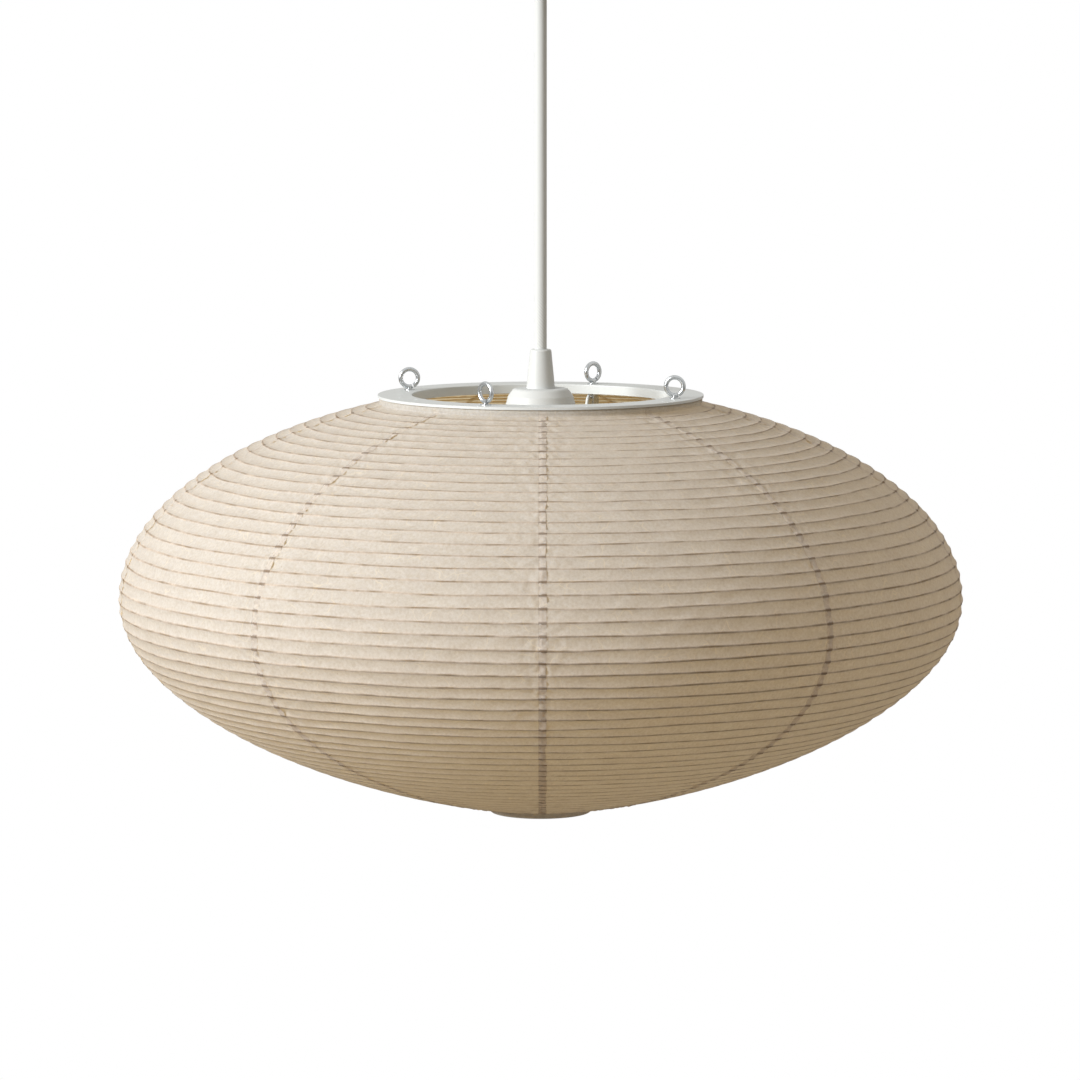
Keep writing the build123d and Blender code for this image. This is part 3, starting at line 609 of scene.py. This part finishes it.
paperMaterial = mulberryPaper()
bambooMaterial = splitBamboo()
shadePieces = []
for k in range(shadeForm["strips"]):
    strip, flatArea = paperStrip(k, paperMaterial)
    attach(strip, "lantern")
    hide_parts(f"paper_gore_{k + 1}")
    shadePieces.append(strip)
middleRib = int(np.argmax(np.interp(ribAlong, outline["along"], outline["radius"])))
for name, node, first, last in (("ribsUpper", "rib_hoops_upper", 0, middleRib),
                                ("ribsLower", "rib_hoops_lower", middleRib, ribCount)):
    ribs = ribRings(name, first, last, bambooMaterial)
    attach(ribs, "lantern")
    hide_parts(node)
    shadePieces.append(ribs)
for piece in shadePieces:
    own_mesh(piece)
print("paper and ribs done")


# Steel, powder-coated white: a hard satin skin with a faint orange peel.
def powderCoatedSteel():
    material, tree, surface = newMaterial("steelPowderCoatedWhite", {
        "Base Color": linearColour("#ced1d0"), "Roughness": 0.36, "Specular IOR Level": 0.5})
    spot = addNode(tree, "ShaderNodeTexCoord").outputs["Object"]
    peel = addNode(tree, "ShaderNodeTexNoise", inputs={
        "Vector": spot, "Scale": perMetre(1.6 * mm), "Detail": 2.0})
    bump = addNode(tree, "ShaderNodeBump", inputs={
        "Strength": 0.18, "Distance": 0.06 * mm, "Height": peel.outputs["Fac"]})
    tree.links.new(bump.outputs[0], surface.inputs["Normal"])
    wear = addNode(tree, "ShaderNodeMapRange", inputs={
        "Value": peel.outputs["Fac"], "From Min": 0.3, "From Max": 0.7, "To Min": 0.30, "To Max": 0.40})
    tree.links.new(wear.outputs[0], surface.inputs["Roughness"])
    return material


# Plastic moulded matt, or glazed steatite: white, with two close tints and a fine texture.
def mouldedPlastic(name, light, dark, roughness):
    material, tree, surface = newMaterial(name, {"Roughness": roughness, "Specular IOR Level": 0.5})
    spot = addNode(tree, "ShaderNodeTexCoord").outputs["Object"]
    texture = addNode(tree, "ShaderNodeTexNoise", inputs={
        "Vector": spot, "Scale": perMetre(0.8 * mm), "Detail": 3.0, "Roughness": 0.6})
    tint = addNode(tree, "ShaderNodeMix", {"data_type": "RGBA"}, {
        0: texture.outputs["Fac"], 6: linearColour(dark), 7: linearColour(light)})
    tree.links.new(tint.outputs[2], surface.inputs["Base Color"])
    bump = addNode(tree, "ShaderNodeBump", inputs={
        "Strength": 0.15, "Distance": 0.04 * mm, "Height": texture.outputs["Fac"]})
    tree.links.new(bump.outputs[0], surface.inputs["Normal"])
    return material


# Metal, with fine scratches or dullness that vary its roughness: bright where smooth and grey where dull.
def metal(name, colour, low, high, grain):
    material, tree, surface = newMaterial(name, {"Base Color": linearColour(colour), "Metallic": 1.0})
    spot = addNode(tree, "ShaderNodeTexCoord").outputs["Object"]
    cloud = addNode(tree, "ShaderNodeTexNoise", inputs={
        "Vector": spot, "Scale": perMetre(grain), "Detail": 4.0, "Roughness": 0.6})
    dull = addNode(tree, "ShaderNodeMapRange", inputs={
        "Value": cloud.outputs["Fac"], "From Min": 0.3, "From Max": 0.7, "To Min": low, "To Max": high})
    tree.links.new(dull.outputs[0], surface.inputs["Roughness"])
    bump = addNode(tree, "ShaderNodeBump", inputs={
        "Strength": 0.1, "Distance": 0.03 * mm, "Height": cloud.outputs["Fac"]})
    tree.links.new(bump.outputs[0], surface.inputs["Normal"])
    return material


finishes = {
    "paper": paperMaterial,
    "rib_bamboo": bambooMaterial,
    "white_steel": powderCoatedSteel(),
    "white_plastic": mouldedPlastic("ureaPlasticMouldedMatt", "#cbcdcc", "#c2c4c3", 0.5),
    "terminal_plastic": mouldedPlastic("steatiteGlazed", "#e8e2d4", "#dcd4c2", 0.35),
    "bright_zinc": metal("steelBrightZincPlated", "#c9ccce", 0.16, 0.30, 1.2 * mm),
    "plain_steel": metal("steelWireDrawn", "#a7a8a6", 0.28, 0.42, 1.0 * mm),
    "cord_textile": cord.data.materials[0],
    "contact_brass": metal("brassSpringTempered", "#c9a558", 0.20, 0.34, 1.5 * mm),
}
for name, node in nodes.items():
    for place in node.material_slots:
        slotName = place.material.name.split(".")[0]
        if slotName not in finishes:
            print("no finish for", name, slotName)
            continue
        place.material = finishes[slotName]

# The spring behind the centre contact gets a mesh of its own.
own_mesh(nodes["contact_spring"])
print("finishes done")

# Light.
lightForm = dict(
    key=dict(place=(-2.38, -1.46, 0.62), size=1.2, power=122.0, colour="#fdfeff"),
    fill=dict(place=(2.6, -0.6, 0.1), size=1.6, power=3.0, colour="#fff3e4"),
)
aim = Vector((0, 0, equatorLevel))
for name, form in lightForm.items():
    lamp = bpy.data.lights.new(name, "AREA")
    lamp.size = form["size"]
    lamp.energy = form["power"]
    lamp.color = linearColour(form["colour"])[:3]
    light = bpy.data.objects.new(name, lamp)
    light.location = form["place"]
    light.rotation_euler = (aim - light.location).to_track_quat("-Z", "Y").to_euler()
    scene.collection.objects.link(light)

# Surroundings: white where the camera looks past the object. Its soft light comes from above and behind,
# so what is seen of the paper from the front is lit through it. Reflections see a room that is bright above.
roomForm = dict(
    brightest=(0, 0.55, 0.83),                          # the direction that the soft light comes from
    soft=("#968f84", "#d4d1cb"),                        # its darkest and its lightest
    mirrored=("#6d6a66", "#f4f4f2"),                    # what shiny finishes see below and above
)
world = bpy.data.worlds.new("studio")
scene.world = world
world.use_nodes = True
tree = world.node_tree
tree.nodes.clear()
rays = addNode(tree, "ShaderNodeLightPath")
direction = addNode(tree, "ShaderNodeTexCoord").outputs["Generated"]
upward = addNode(tree, "ShaderNodeSeparateXYZ", inputs={0: direction}).outputs["Z"]
toBack = addNode(tree, "ShaderNodeVectorMath", {"operation": "DOT_PRODUCT"}, {
    0: direction, 1: roomForm["brightest"]})
bright = addNode(tree, "ShaderNodeMapRange", {"interpolation_type": "SMOOTHSTEP"}, {
    "Value": toBack.outputs["Value"], "From Min": -0.5, "From Max": 1.0, "To Min": 0.0, "To Max": 1.0})
shade = addNode(tree, "ShaderNodeMapRange", inputs={
    "Value": upward, "From Min": -0.6, "From Max": 0.8, "To Min": 0.0, "To Max": 1.0})
soft = addNode(tree, "ShaderNodeMix", {"data_type": "RGBA"}, {
    0: bright.outputs[0], 6: linearColour(roomForm["soft"][0]), 7: linearColour(roomForm["soft"][1])})
softLight = addNode(tree, "ShaderNodeBackground", inputs={"Color": soft.outputs[2], "Strength": 1.0})
mirror = addNode(tree, "ShaderNodeMix", {"data_type": "RGBA"}, {
    0: shade.outputs[0], 6: linearColour(roomForm["mirrored"][0]), 7: linearColour(roomForm["mirrored"][1])})
mirrorLight = addNode(tree, "ShaderNodeBackground", inputs={"Color": mirror.outputs[2], "Strength": 1.0})
white = addNode(tree, "ShaderNodeBackground", inputs={"Color": (1, 1, 1, 1), "Strength": 1.0})
shiny = addNode(tree, "ShaderNodeMixShader", inputs={
    0: rays.outputs["Is Glossy Ray"], 1: softLight.outputs[0], 2: mirrorLight.outputs[0]})
seen = addNode(tree, "ShaderNodeMixShader", inputs={
    0: rays.outputs["Is Camera Ray"], 1: shiny.outputs[0], 2: white.outputs[0]})
addNode(tree, "ShaderNodeOutputWorld", inputs={"Surface": seen.outputs[0]})
scene.view_settings.view_transform = "Standard"
print("light done")
